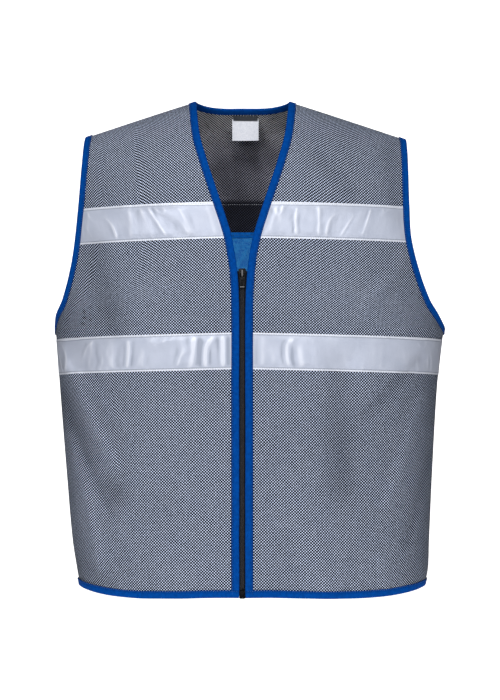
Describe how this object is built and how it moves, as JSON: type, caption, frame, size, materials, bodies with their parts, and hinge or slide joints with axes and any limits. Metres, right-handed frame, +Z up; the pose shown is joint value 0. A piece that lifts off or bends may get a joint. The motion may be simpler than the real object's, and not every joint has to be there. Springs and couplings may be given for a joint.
{
  "type": "cooling vest",
  "caption": "Sleeveless zip-front cooling vest in worn form: two-tone mesh panels, blue bound edges, silver tapes, blue liner inside the back.",
  "frame": {"origin": "midway between the two points where the neckline crosses the shoulder seams", "axes": "+Z up, +Y to the back of the vest (the zip faces -Y), +X to the wearer's left"},
  "size_m": [0.5546, 0.2428, 0.6912],
  "materials": {
    "mesh_cloth": "two-tone knitted mesh, grey outside and black inside",
    "blue_binding": "royal blue folded binding tape",
    "silver_tape": "satin silver tape, slightly crinkled",
    "blue_liner": "mottled blue absorbent liner",
    "white_label": "white satin label, bare",
    "black_label": "black woven label, bare",
    "zip_cloth": "black woven zip tape",
    "zip_coil": "black coil",
    "zip_metal": "black enamelled metal"
  },
  "bodies": {
    "vest": {"front_panel_right": "mesh_cloth", "front_panel_left": "mesh_cloth", "back_panel": "mesh_cloth", "front_neck_binding": "blue_binding", "hem_binding": "blue_binding", "armhole_binding_right": "blue_binding", "armhole_binding_left": "blue_binding", "liner_binding": "blue_binding", "chest_tape_front_right": "silver_tape", "chest_tape_front_left": "silver_tape", "chest_tape_back": "silver_tape", "waist_tape_front_right": "silver_tape", "waist_tape_front_left": "silver_tape", "waist_tape_back": "silver_tape", "cooling_liner": "blue_liner", "size_label": "black_label", "care_label": "white_label", "zip_tape_right": "zip_cloth", "zip_tape_left": "zip_cloth", "zip_coil": "zip_coil", "zip_box": "zip_metal", "zip_slider": "zip_metal"},
    "pull": {"zip_pull": "zip_metal"}
  },
  "joints": [
    {"name": "pull_swing", "type": "hinge", "parent": "vest", "child": "pull", "pos_m": [0, -0.12415, -0.24633], "axis": [-1, 0, 0], "range_deg": [0, 160]}
  ]
}
